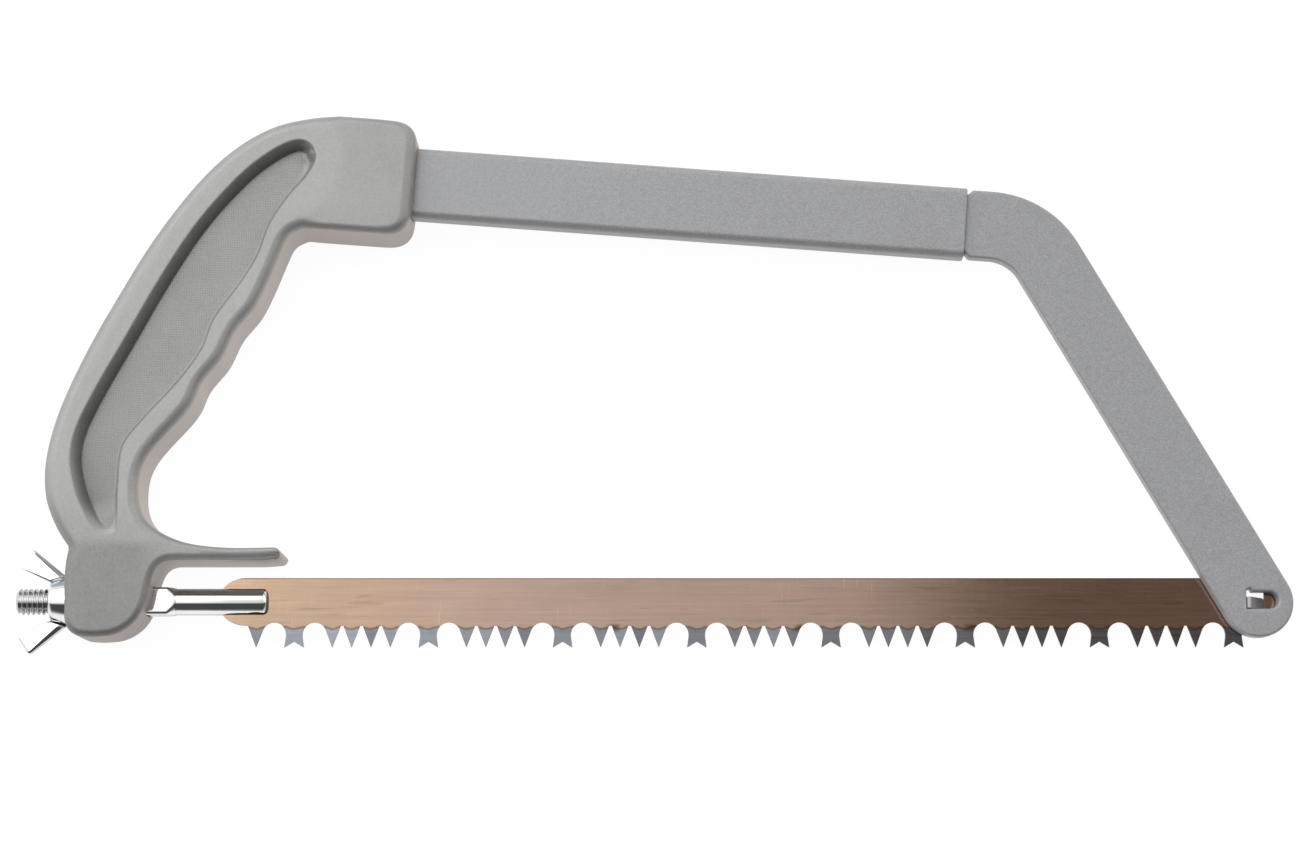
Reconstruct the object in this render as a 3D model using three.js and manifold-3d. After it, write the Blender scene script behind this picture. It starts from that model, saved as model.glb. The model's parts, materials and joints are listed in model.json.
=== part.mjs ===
// Take-down bow saw: a cast handle, a flat-sided tube, a bent arm, a toothed blade and a screw drawbar.
// Millimetres. The saw lies on its back: X runs along the blade, Y from the blade up to the tube,
// Z from the back of the saw to its front. The origin is on the handle's back face, under the middle
// of the drawbar's boss, and the drawbar's axis runs along X above it.
import * as THREE from 'three';
import { mergeVertices } from 'three/addons/utils/BufferGeometryUtils.js';
import Module from 'manifold-3d';

// Frame
const frameRise = 123.3; // tube axis above the drawbar axis, over the boss
const tubeTilt = 4.25; // degrees by which the tube falls away from the handle

// Fits
const slideGap = 0.3; // between pieces that slide or turn on each other
const seatGap = 0.3; // between faces that rest on each other
const pressGap = 0.1; // round pieces that are pressed in

// Handle casting
const handleThickness = 22;
const handleRound = 1.1; // rounding of its edges
const noseReach = 84; // end of the tube socket, along the tube axis
const noseWall = 6.3; // metal above and below the tube
const noseCorner = 7;
const noseBack = 62; // where the straight top of the nose begins, along the tube axis
const noseUnder = 54.5; // where the straight underside of the nose begins, along the tube axis
const socketDepth = 32;
const bossBack = 10; // boss face under the wing nut, from the boss middle
const bossFront = 12.5; // boss face towards the blade
const bossLean = 0.2; // lean of that face, as a share of its height
const bossDrop = 10.6; // boss below the drawbar axis
const bossCorner = 6.5;
const waistHeight = 14; // where the back of the grip meets the boss
const waistInset = 0.7; // waist behind the boss face
const guardHeight = 10.4; // underside of the finger guard above the drawbar axis
const guardReach = 48.6; // tip of the finger guard
const guardThickness = 3.4;
const guardFillet = 6.8; // between the boss and the guard
const gripCrook = 9.4; // grip edge at the little finger, from the boss middle
const gripCrookHeight = 29;
const fingerFootStep = 2.2; // lower end of the finger edge, in front of the crook
const fingerFootRise = 10; // and above it
const fingerTopBack = 5.4; // upper end of the finger edge, behind the nose's underside
const fingerTopDrop = 7; // and below it
const fingerGroove = 1.5; // how far the grooves stand off that edge's straight line
const fingerSwell = 0.9; // height of the ridges between the fingers
const fingerPitch = 16.9;

// Grip panel, sunk into both faces of the handle
const rimWidth = 5.6; // flat rim between the panel and the grip's edges
const panelDepth = 3.2; // along the back of the grip
const panelStep = 0.3; // along the fingers
const panelWidth = 25.8; // across the grip, over which the floor falls

// Tube
const tubeHeight = 19.9;
const tubeThickness = 8;
const tubeWall = 1.2;
const tubeCorner = 2;
const tubeLength = 186;

// Front arm
const armWidth = 19.3;
const armThickness = 5;
const armRound = 0.4; // broken edges
const armChamfer = 1.4; // corners of the shoulder against the tube
const tongueLength = 32;
const elbowReach = 17.6; // from the shoulder to the corner of the bend, on the middle line
const elbowRadius = 20;
const legAngle = 59.8; // degrees by which the leg falls
const footDrop = 0.5; // middle of the arm's foot below the drawbar axis
const windowBack = 3.2; // window edge towards the handle, from the middle of the arm's foot
const windowFront = 5.5; // round end of the window
const windowHeight = 4.6;
const windowRelief = 0.8; // radius of the round in the window's inner corner

// Blade hook
const hookHeight = 3.2;
const hookLand = 0.9; // flush part of the hook in the arm's face
const hookBite = 2.1; // where the blade bears on the hook, from the middle of the arm's foot
const hookLip = 1; // how far the hook reaches behind the blade
const hookTip = 0.8; // thickness of that lip

// Blade
const bladeThickness = 0.9;
const bladeHeight = 13.2; // without the teeth
const bladeEnd = 4; // plate beyond the hook
const bladeEndCorner = 2.5;
const toothDepth = 6;
const firstRaker = 13.4; // from the pin
const rakerPeriod = 36.96;
const rakerHalf = 2.68; // half the distance between a raker's two points
const rakerWaist = 2.3;
const rakerNotch = 1.6;
const gulletRise = 0.9; // top of the round gullets beside the rakers, above the cutters' roots
const cutterPitch = 5.33;
const cuttersInGroup = 4;
const cutterGullet = 0.7; // flat at the root between two cutters
const notchRoom = 1.4; // room in the blade's notch under the hook

// Drawbar
const pinReach = 38.2; // blade pin from the boss middle
const pinDiameter = 3;
const pinCover = 0.9; // metal left in front of the pin
const rodDiameter = 7.4;
const rodEnd = 5.1; // rod beyond the pin
const rodChamfer = 0.7;
const squareSize = 7.6;
const squareFront = 4.6; // square shank showing beyond the boss
const squareBack = 4.5; // end of the square shank inside the boss, from the boss middle
const squareTaper = 2.6;
const threadDiameter = 7.3;
const threadDepth = 0.8;
const threadPitch = 1.411;
const threadEnd = 8.5; // thread showing beyond the nut

// Wing nut
const nutLength = 6;
const nutSeatDiameter = 13;
const nutTopDiameter = 11.2;
const wingSpan = 30;
const wingThickness = 2.4;
const wingSweep = 8.6; // how far the wings reach back past the nut
const wingTip = 6.4; // width across a wing's end
const wingCorner = 1.6;

// Resolution of the round shapes
const roundSides = 32;
const threadSides = 20;
const curveSteps = 6;

const tilt = THREE.MathUtils.degToRad(tubeTilt);
const fall = THREE.MathUtils.degToRad(legAngle);
const lane = bladeThickness / 2 + seatGap + armThickness / 2; // arm's middle in front of the blade's
const drawbarZ = handleThickness / 2 - lane / 2;
const tubeZ = handleThickness / 2 + lane / 2;
const along = new THREE.Vector2(Math.cos(tilt), -Math.sin(tilt));
const across = new THREE.Vector2(Math.sin(tilt), Math.cos(tilt));
const leg = new THREE.Vector2(Math.cos(fall), -Math.sin(fall));

const wasm = await Module();
wasm.setup();

// A point in the saw's plane, given along and across the tube's axis
function onTube(reach, off) {
  return new THREE.Vector2(0, frameRise).addScaledVector(along, reach).addScaledVector(across, off);
}

// Shape helpers

function solid(geometry) {
  const bare = geometry.clone();
  bare.deleteAttribute('normal');
  bare.deleteAttribute('uv');
  const merged = mergeVertices(bare);
  const corners = merged.index.array;
  const kept = [];
  for (let i = 0; i < corners.length; i += 3) {
    const [a, b, c] = corners.slice(i, i + 3);
    if (a !== b && b !== c && c !== a) kept.push(a, b, c);
  }
  return new wasm.Manifold(new wasm.Mesh({
    numProp: 3,
    vertProperties: new Float32Array(merged.attributes.position.array),
    triVerts: new Uint32Array(kept),
  }));
}

function geometryOf(body) {
  const { vertProperties, triVerts } = body.getMesh();
  const geometry = new THREE.BufferGeometry();
  geometry.setAttribute('position', new THREE.BufferAttribute(vertProperties, 3));
  geometry.setIndex(new THREE.BufferAttribute(triVerts, 1));
  geometry.computeVertexNormals();
  return geometry;
}

// A flat shape between two heights, with its edges rounded
function plate(shape, bottom, top, round = 0, roundSteps = 2) {
  const geometry = new THREE.ExtrudeGeometry(shape, {
    depth: top - bottom - 2 * round,
    curveSegments: curveSteps,
    bevelEnabled: round > 0,
    bevelThickness: round,
    bevelSize: round,
    bevelOffset: -round,
    bevelSegments: roundSteps,
  });
  return geometry.translate(0, 0, bottom + round);
}

// A turned shape along X, from [x, radius] pairs that start and end on the axis
function turned(profile, sides = roundSides) {
  const points = profile.map(([x, radius]) => new THREE.Vector2(radius, x));
  const geometry = new THREE.LatheGeometry(points, sides);
  return geometry.rotateZ(-Math.PI / 2);
}

// A block between two corners
function block(low, high) {
  const size = high.map((value, i) => value - low[i]);
  const middle = high.map((value, i) => (value + low[i]) / 2);
  return new THREE.BoxGeometry(...size).translate(...middle);
}

function roundedRectangle(width, height, corner) {
  const [w, h] = [width / 2, height / 2];
  const shape = new THREE.Shape();
  shape.moveTo(w, corner - h);
  shape.absarc(w - corner, h - corner, corner, 0, Math.PI / 2);
  shape.absarc(corner - w, h - corner, corner, Math.PI / 2, Math.PI);
  shape.absarc(corner - w, corner - h, corner, Math.PI, Math.PI * 1.5);
  shape.absarc(w - corner, corner - h, corner, Math.PI * 1.5, Math.PI * 2);
  return shape;
}

// Turn a corner between two straight edges
function roundCorner(shape, corner, before, after, radius) {
  const start = corner.clone().addScaledVector(before, -radius);
  const end = corner.clone().addScaledVector(after, radius);
  shape.lineTo(start.x, start.y);
  shape.quadraticCurveTo(corner.x, corner.y, end.x, end.y);
}

function named(name, geometry, color, roughness, metalness) {
  const material = new THREE.MeshStandardMaterial({ color, roughness, metalness });
  const mesh = new THREE.Mesh(geometry, material);
  mesh.name = name;
  return mesh;
}

// Handle

const noseHalf = tubeHeight / 2 + noseWall;

// Edge along the back of the palm, from the nose down to the boss. Each pair is the share of the way
// from the boss to the nose, and how far the edge stands off the straight line between them, as a
// share of that line's length.
const palmBulges = [
  [0.965, 0.051], [0.91, 0.105], [0.83, 0.147], [0.73, 0.172], [0.6, 0.184], [0.46, 0.183],
  [0.33, 0.176], [0.21, 0.159], [0.12, 0.13], [0.06, 0.091], [0.022, 0.044],
];

function palmEdge() {
  const foot = new THREE.Vector2(waistInset - bossBack, waistHeight);
  const top = onTube(noseBack, noseHalf);
  const way = top.clone().sub(foot);
  const out = new THREE.Vector2(-way.y, way.x);
  const between = palmBulges.map(([share, bulge]) =>
    foot.clone().addScaledVector(way, share).addScaledVector(out, bulge));
  return new THREE.SplineCurve([top, ...between, foot]);
}

// Edge under the fingers, from low to high, with a ridge between each two fingers
const fingerFoot = new THREE.Vector2(gripCrook + fingerFootStep, gripCrookHeight + fingerFootRise);
const fingerTop = onTube(noseUnder - fingerTopBack, -noseHalf - fingerTopDrop);

function fingerEdge() {
  const foot = fingerFoot;
  const way = fingerTop.clone().sub(foot);
  const halves = Math.max(2, Math.round(way.length() / (fingerPitch / 2)));
  const out = new THREE.Vector2(way.y, -way.x).normalize();
  const points = [foot];
  for (let i = 2; i < halves; i++) {
    const off = i % 2 ? fingerGroove : fingerGroove + fingerSwell;
    points.push(foot.clone().addScaledVector(way, i / halves).addScaledVector(out, off));
  }
  return new THREE.SplineCurve([...points, fingerTop]);
}

// Points beside an edge, a distance to its left
function besideEdge(edge, distance, from, to, count) {
  const points = [];
  for (let i = 0; i <= count; i++) {
    const t = from + (to - from) * i / count;
    const way = edge.getTangent(t);
    points.push(edge.getPoint(t).addScaledVector(new THREE.Vector2(-way.y, way.x), distance));
  }
  return points;
}

function handleOutline() {
  const shape = new THREE.Shape();
  const up = across;
  const back = along.clone().negate();
  const start = onTube(noseReach, 0);
  shape.moveTo(start.x, start.y);
  roundCorner(shape, onTube(noseReach, noseHalf), up, back, noseCorner);
  const [palmTop, ...palm] = palmEdge().points;
  shape.lineTo(palmTop.x, palmTop.y);
  shape.splineThru(palm);

  // Boss, with a large round towards the blade
  shape.lineTo(-bossBack, waistHeight - 0.8 * bossCorner);
  shape.lineTo(-bossBack, bossCorner - bossDrop);
  shape.quadraticCurveTo(-bossBack, -bossDrop, bossCorner - bossBack, -bossDrop);
  shape.lineTo(bossFront - 2 * bossCorner, -bossDrop);
  const low = -0.75 * bossCorner;
  const high = 0.6 * guardHeight;
  const filletStart = bossFront + guardFillet / 4;
  const filletEnd = bossFront + guardFillet;
  shape.bezierCurveTo(bossFront + low, -bossDrop, bossFront + bossLean * low, low, bossFront, 0);
  shape.bezierCurveTo(bossFront + bossLean * high, high, filletStart, guardHeight, filletEnd, guardHeight);

  // Finger guard and its round tip, then the crook for the little finger
  const guardTop = guardHeight + guardThickness;
  const tip = guardThickness * 0.46;
  shape.lineTo(guardReach - 2 * guardThickness, guardHeight);
  shape.absarc(guardReach - tip, guardTop - tip, tip, -Math.PI * 0.4, Math.PI * 0.5);
  const reach = guardReach - gripCrook;
  const rise = gripCrookHeight - guardTop;
  shape.splineThru([
    new THREE.Vector2(gripCrook + reach * 0.6, guardTop),
    new THREE.Vector2(gripCrook + reach * 0.3, guardTop + rise * 0.12),
    new THREE.Vector2(gripCrook + reach * 0.07, guardTop + rise * 0.47),
    new THREE.Vector2(gripCrook, gripCrookHeight),
    ...fingerEdge().points,
    onTube(noseUnder - noseCorner / 2, -noseHalf - noseCorner / 3),
    onTube(noseUnder, -noseHalf),
  ]);
  roundCorner(shape, onTube(noseReach, -noseHalf), along, up, noseCorner);
  return shape;
}

function panelOutline() {
  const palm = besideEdge(palmEdge(), rimWidth, 0.1, 0.8, 8);
  const fingers = besideEdge(fingerEdge(), rimWidth, 0.02, 1, 8);
  const lobe = onTube(noseBack - rimWidth, noseHalf - 1.9 * rimWidth);
  const foot = new THREE.Vector2(gripCrook - 1.6 * rimWidth, gripCrookHeight - 2 * rimWidth);
  const heel = new THREE.Vector2(gripCrook - rimWidth, gripCrookHeight - rimWidth);
  const shape = new THREE.Shape();
  shape.moveTo(palm[0].x, palm[0].y);
  shape.splineThru([...palm.slice(1), foot, heel, ...fingers, lobe, palm[0]]);
  return shape;
}

// The panel's floor falls from the fingers to the back of the grip. side is 1 in front and -1 behind.
function panelCut(side) {
  const face = side > 0 ? handleThickness : 0;
  const deep = face - side * 2 * panelDepth;
  const clear = face + side * panelDepth;
  const walls = plate(panelOutline(), Math.min(deep, clear), Math.max(deep, clear));

  const way = fingerTop.clone().sub(fingerFoot);
  const inward = new THREE.Vector2(-way.y, way.x).normalize();
  const line = fingerFoot.clone().addScaledVector(inward, rimWidth);
  const slope = Math.atan2(panelDepth - panelStep, panelWidth);
  const large = 4 * frameRise;
  const floor = new THREE.BoxGeometry(large, large, large).translate(0, 0, side * large / 2);
  floor.rotateX(side * -slope);
  floor.rotateZ(way.angle());
  floor.translate(line.x, line.y, face - side * panelStep);
  return solid(walls).intersect(solid(floor));
}

function handle() {
  const socketEnd = noseReach - socketDepth;
  const socket = plate(
    roundedRectangle(tubeHeight + 2 * slideGap, tubeThickness + 2 * slideGap, tubeCorner + slideGap),
    socketEnd, noseReach + noseCorner);
  layAlongTube(socket);
  const half = squareSize / 2 + slideGap;
  const bore = block([-2 * bossBack, -half, drawbarZ - half], [2 * bossFront, half, drawbarZ + half]);
  const body = solid(plate(handleOutline(), 0, handleThickness, handleRound))
    .subtract(solid(socket))
    .subtract(solid(bore))
    .subtract(panelCut(1))
    .subtract(panelCut(-1));
  return named('handle', geometryOf(body), 0x9c9c98, 0.55, 0.9);
}

// Stand a section that was raised along Z on the tube's axis, with its height across the tube
function layAlongTube(geometry) {
  geometry.rotateY(Math.PI / 2).rotateX(Math.PI / 2);
  return geometry.rotateZ(-tilt).translate(0, frameRise, tubeZ);
}

// Tube

function tube() {
  const section = roundedRectangle(tubeHeight, tubeThickness, tubeCorner);
  const inside = roundedRectangle(
    tubeHeight - 2 * tubeWall, tubeThickness - 2 * tubeWall, tubeCorner - tubeWall);
  section.holes.push(inside);
  const start = noseReach - socketDepth + seatGap;
  const geometry = layAlongTube(plate(section, start, start + tubeLength));
  return named('frame_tube', geometry, 0xa2a4a7, 0.45, 0.6);
}

// Arm

const shoulder = noseReach - socketDepth + tubeLength + 2 * seatGap;
const elbow = onTube(shoulder + elbowReach, 0);
const foot = elbow.clone().addScaledVector(leg, (elbow.y + footDrop) / Math.sin(fall));

function armWindow() {
  const half = windowHeight / 2;
  const left = foot.x - windowBack;
  const hole = new THREE.Path();
  hole.moveTo(left, -half);
  hole.lineTo(foot.x + windowFront - half, -half);
  hole.absarc(foot.x + windowFront - half, 0, half, -Math.PI / 2, Math.PI / 2);
  hole.lineTo(left + 2 * windowRelief, half);
  hole.absarc(left + windowRelief, half, windowRelief, 0, Math.PI);
  return hole;
}

function arm() {
  const half = armWidth / 2;
  const tongue = tubeHeight / 2 - tubeWall - slideGap;
  const bend = fall - tilt;
  const tangent = elbowRadius * Math.tan(bend / 2);
  const centre = onTube(shoulder + elbowReach - tangent, -elbowRadius);
  const before = Math.PI / 2 - tilt;
  const after = Math.PI / 2 - fall;
  const shape = new THREE.Shape();
  const corners = [
    [shoulder - tongueLength, -tongue],
    [shoulder - tongueLength, tongue],
    [shoulder, tongue],
    [shoulder, half - armChamfer],
    [shoulder + armChamfer, half],
  ].map(([reach, off]) => onTube(reach, off));
  shape.moveTo(corners[0].x, corners[0].y);
  for (const corner of corners.slice(1)) shape.lineTo(corner.x, corner.y);
  shape.absarc(centre.x, centre.y, elbowRadius + half, before, after, true);
  shape.absarc(foot.x, foot.y, half, after, after - Math.PI, true);
  shape.absarc(centre.x, centre.y, elbowRadius - half, after, before, false);
  const under = [
    [shoulder + armChamfer, -half],
    [shoulder, armChamfer - half],
    [shoulder, -tongue],
  ].map(([reach, off]) => onTube(reach, off));
  for (const corner of under) shape.lineTo(corner.x, corner.y);
  shape.holes.push(armWindow());
  const bottom = tubeZ - armThickness / 2;
  const geometry = plate(shape, bottom, bottom + armThickness, armRound, 1);
  return named('front_arm', geometry, 0xa2a4a7, 0.45, 0.6);
}

// A slanting steel dog, flush with the arm's face and hooked behind the blade
function hook() {
  const front = tubeZ + armThickness / 2;
  const back = drawbarZ - bladeThickness / 2 - seatGap;
  const left = foot.x - windowBack + pressGap;
  const bite = foot.x + hookBite;
  const profile = new THREE.Shape();
  profile.moveTo(left, front);
  profile.lineTo(left, tubeZ - armThickness / 2 + seatGap);
  profile.lineTo(bite - 2 * hookTip, back - hookTip);
  profile.lineTo(bite + hookLip, back - hookTip);
  profile.lineTo(bite + hookLip, back);
  profile.lineTo(bite, back);
  profile.lineTo(bite, drawbarZ + bladeThickness / 2);
  profile.lineTo(left + hookLand, front);
  const low = pressGap - windowHeight / 2;
  const geometry = plate(profile, -low - hookHeight, -low);
  geometry.rotateX(Math.PI / 2);
  return named('blade_hook', geometry, 0x6f6b72, 0.4, 0.9);
}

// Blade, with its pin at the group's own origin line y = 0

function cutterPoints(centre) {
  const half = (cutterPitch - cutterGullet) / 2;
  return [
    [centre - half, -bladeHeight / 2],
    [centre, -bladeHeight / 2 - toothDepth],
    [centre + half, -bladeHeight / 2],
  ];
}

function rakerPoints(centre) {
  const root = -bladeHeight / 2;
  const tips = root - toothDepth;
  const side = [[rakerWaist, root], [rakerWaist, root - toothDepth / 2], [rakerHalf, tips]];
  const left = side.map(([x, y]) => [centre - x, y]);
  const right = side.map(([x, y]) => [centre + x, y]).reverse();
  return [...left, [centre, tips + rakerNotch], ...right];
}

// The line along a tooth's flank: its direction out of the tooth, and its distance from the origin
function flank([fromX, fromY], [toX, toY]) {
  const way = new THREE.Vector2(toX - fromX, toY - fromY).normalize();
  const out = new THREE.Vector2(way.y, -way.x);
  return { out, off: out.x * fromX + out.y * fromY };
}

// A round gullet between two teeth, as points from left to right. Its circle touches the flanks that
// face it and the line along the gullets' tops.
function gulletPoints(before, after) {
  const top = gulletRise - bladeHeight / 2;
  const left = flank(before.at(-2), before.at(-1));
  const right = flank(after[0], after[1]);
  const [leftOff, rightOff] = [left, right].map(({ out, off }) => off - out.y * top);
  const [leftPull, rightPull] = [left, right].map(({ out }) => out.y + 1);
  const share = leftPull * right.out.x - rightPull * left.out.x;
  const middle = (leftPull * rightOff - rightPull * leftOff) / share;
  const radius = (left.out.x * rightOff - right.out.x * leftOff) / share;
  const from = Math.atan2(left.out.y, left.out.x) + Math.PI;
  const to = Math.atan2(-right.out.y, -right.out.x);
  const points = [];
  for (let i = 0; i <= curveSteps; i++) {
    const turn = from + (to - from) * i / curveSteps;
    points.push([middle + Math.cos(turn) * radius, top - radius + Math.sin(turn) * radius]);
  }
  return points;
}

// The teeth from left to right, from one lone cutter to the last raker before the hook
function teeth(from, to) {
  const groupHalf = (cuttersInGroup - 1) / 2 * cutterPitch;
  const points = [];
  const add = (tooth) => {
    const last = points.at(-1);
    if (last && tooth[0][0] - last[0] > cutterGullet * 1.5) {
      const round = gulletPoints(points, tooth);
      points.pop();
      points.push(...round, ...tooth.slice(1));
    } else {
      points.push(...tooth);
    }
  };
  add(cutterPoints(from - rakerPeriod / 2 + groupHalf));
  for (let centre = from; centre < to; centre += rakerPeriod) {
    add(rakerPoints(centre));
    const next = centre + rakerPeriod;
    for (let i = 0; i < cuttersInGroup && next < to; i++) {
      add(cutterPoints(centre + rakerPeriod / 2 - groupHalf + i * cutterPitch));
    }
  }
  return points;
}

function blade() {
  const half = bladeHeight / 2;
  const bite = foot.x + hookBite + slideGap;
  const end = bite + bladeEnd;
  const notchLeft = foot.x - windowBack - slideGap;
  const notchFloor = pressGap - windowHeight / 2 - notchRoom;
  const shape = new THREE.Shape();
  shape.absarc(pinReach, 0, half, Math.PI / 2, Math.PI * 1.5);
  for (const [x, y] of teeth(pinReach + firstRaker, foot.x - windowBack)) shape.lineTo(x, y);
  shape.lineTo(end - bladeEndCorner, -half);
  shape.absarc(end - bladeEndCorner, bladeEndCorner - half, bladeEndCorner, -Math.PI / 2, 0);
  shape.absarc(end - bladeEndCorner, half - bladeEndCorner, bladeEndCorner, 0, Math.PI / 2);
  shape.lineTo(bite, half);
  shape.lineTo(bite, notchFloor);
  shape.lineTo(notchLeft, notchFloor);
  shape.lineTo(notchLeft, half);
  const hole = new THREE.Path();
  hole.absarc(pinReach, 0, pinDiameter / 2 + slideGap, 0, Math.PI * 2);
  shape.holes.push(hole);
  const geometry = plate(shape, -bladeThickness / 2, bladeThickness / 2);
  return named('saw_blade', geometry, 0xa87f68, 0.35, 0.85);
}

// Drawbar

// A threaded bar along X. Each step round the helix has a root point and a crest point.
function threadedBar(start, length) {
  const crest = threadDiameter / 2;
  const root = crest - threadDepth;
  const turns = Math.ceil(length / threadPitch) + 2;
  const steps = turns * threadSides;
  const vertices = [];
  const ring = (step, radius, shift) => {
    const angle = 2 * Math.PI * step / threadSides;
    vertices.push(start + threadPitch * (step / threadSides - 1 + shift),
      radius * Math.cos(angle), radius * Math.sin(angle));
  };
  for (let step = 0; step <= steps; step++) {
    ring(step, root, 0);
    ring(step, crest, 0.5);
  }
  const rootAt = (step) => 2 * step;
  const crestAt = (step) => 2 * step + 1;
  const faces = [];
  const quad = (a, b, c, d) => faces.push(a, c, b, a, d, c);
  const last = steps - threadSides;
  for (let step = 0; step < last; step++) {
    quad(rootAt(step), crestAt(step), crestAt(step + 1), rootAt(step + 1));
    const next = step + threadSides;
    quad(crestAt(step), rootAt(next), rootAt(next + 1), crestAt(step + 1));
  }
  const firstCentre = vertices.length / 3;
  vertices.push(start - threadPitch, 0, 0);
  vertices.push(start + threadPitch * (turns + 1), 0, 0);
  const cap = (centre, loop) => loop.forEach((a, i) => faces.push(centre, loop[(i + 1) % loop.length], a));
  const lowLoop = Array.from({ length: threadSides + 1 }, (_, step) => rootAt(step));
  cap(firstCentre, [...lowLoop, crestAt(0)]);
  const highLoop = Array.from({ length: threadSides + 1 }, (_, step) => rootAt(last + step));
  cap(firstCentre + 1, [crestAt(last), ...highLoop.reverse()]);
  const geometry = new THREE.BufferGeometry();
  geometry.setAttribute('position', new THREE.Float32BufferAttribute(vertices, 3));
  geometry.setIndex(faces);
  return geometry;
}

function drawbar() {
  const end = -bossBack - seatGap - nutLength - threadEnd;
  const crest = threadDiameter / 2;
  const rod = rodDiameter / 2;
  const corner = squareSize; // wider than the square's corners
  const front = bossFront + squareFront;
  const rodFront = pinReach + rodEnd;
  const trim = turned([
    [end, 0], [end, crest - threadDepth], [end + threadDepth, crest + threadDepth / 2],
    [threadPitch - squareBack, crest + threadDepth / 2], [threadPitch - squareBack, 0],
  ]);
  const thread = solid(threadedBar(end, -squareBack - end + threadPitch)).intersect(solid(trim));
  const square = solid(block([-squareBack, -squareSize / 2, -squareSize / 2],
    [front, squareSize / 2, squareSize / 2]));
  const taper = turned([
    [-squareBack - corner, 0], [-squareBack - corner, corner], [front - squareTaper, corner * 0.72],
    [front, rod], [rodFront - rodChamfer, rod], [rodFront, rod - rodChamfer], [rodFront, 0],
  ]);
  const round = turned([
    [0, 0], [0, rod], [rodFront - rodChamfer, rod], [rodFront, rod - rodChamfer], [rodFront, 0],
  ]);
  const slotHalf = bladeThickness / 2 + slideGap;
  const slotRoot = pinReach - bladeHeight / 2 - slideGap;
  const slot = block([slotRoot, -corner, -slotHalf], [rodFront + corner, corner, slotHalf]);
  const pinHole = pinCylinder(pinDiameter / 2 + pressGap, -corner, rod - pinCover + pressGap);
  const body = thread
    .add(square.intersect(solid(taper)))
    .add(solid(round))
    .subtract(solid(slot))
    .subtract(solid(pinHole));
  return named('drawbar', geometryOf(body), 0xc8cacc, 0.15, 1);
}

function pinCylinder(radius, bottom, top) {
  const geometry = new THREE.CylinderGeometry(radius, radius, top - bottom, roundSides);
  return geometry.rotateX(Math.PI / 2).translate(pinReach, 0, (bottom + top) / 2);
}

function pin() {
  const rod = rodDiameter / 2;
  const geometry = pinCylinder(pinDiameter / 2, -rod + pressGap, rod - pinCover);
  return named('blade_pin', geometry, 0x8a8c8f, 0.3, 1);
}

// Wing nut

function wingNut() {
  const seat = -bossBack - seatGap;
  const top = seat - nutLength;
  const hub = turned([
    [top, 0], [top, nutTopDiameter / 2], [seat, nutSeatDiameter / 2], [seat, 0],
  ]);
  const bore = turned([
    [top - nutLength, 0], [top - nutLength, threadDiameter / 2 + slideGap],
    [seat + nutLength, threadDiameter / 2 + slideGap], [seat + nutLength, 0],
  ]);
  let body = solid(hub);
  for (const side of [1, -1]) {
    const wing = plate(wingShape(top, seat), -wingThickness / 2, wingThickness / 2, wingThickness / 4, 2);
    if (side < 0) wing.rotateX(Math.PI);
    body = body.add(solid(wing));
  }
  return named('wing_nut', geometryOf(body.subtract(solid(bore))), 0xc8cacc, 0.2, 1);
}

// The upper wing, swept back from the hub
function wingShape(top, seat) {
  const root = threadDiameter / 2;
  const tip = wingSpan / 2;
  const outer = new THREE.Vector2(top - wingSweep / 2, tip);
  const inner = new THREE.Vector2(top - wingSweep, tip - wingTip * 0.8);
  const low = new THREE.Vector2(top + nutLength * 0.08, root * 1.27);
  const high = new THREE.Vector2(seat - nutLength * 0.17, root * 1.8);
  const edge = (a, b) => b.clone().sub(a).normalize();
  const shape = new THREE.Shape();
  shape.moveTo(low.x, low.y);
  shape.lineTo(high.x, high.y);
  roundCorner(shape, outer, edge(high, outer), edge(outer, inner), wingCorner);
  roundCorner(shape, inner, edge(outer, inner), edge(inner, low), wingCorner);
  return shape;
}

// Assembly

const saw = new THREE.Group();
const bladeLine = new THREE.Group(); // everything on the drawbar's axis
bladeLine.position.z = drawbarZ;
bladeLine.add(drawbar(), pin(), wingNut(), blade());
saw.add(handle(), tube(), arm(), hook(), bladeLine);

export default saw;
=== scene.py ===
"""Looks of a take-down bow saw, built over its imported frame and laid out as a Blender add-on.

Each piece takes its outline and place from the frame's own nodes, gets the soft edges and fine forms
that the solids leave out, and is dressed in a material made of nodes. Lengths are in metres.
"""

import json
import math

import bmesh
import bpy
import numpy as np
from bpy.props import FloatProperty, FloatVectorProperty, PointerProperty
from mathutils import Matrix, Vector, geometry


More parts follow.
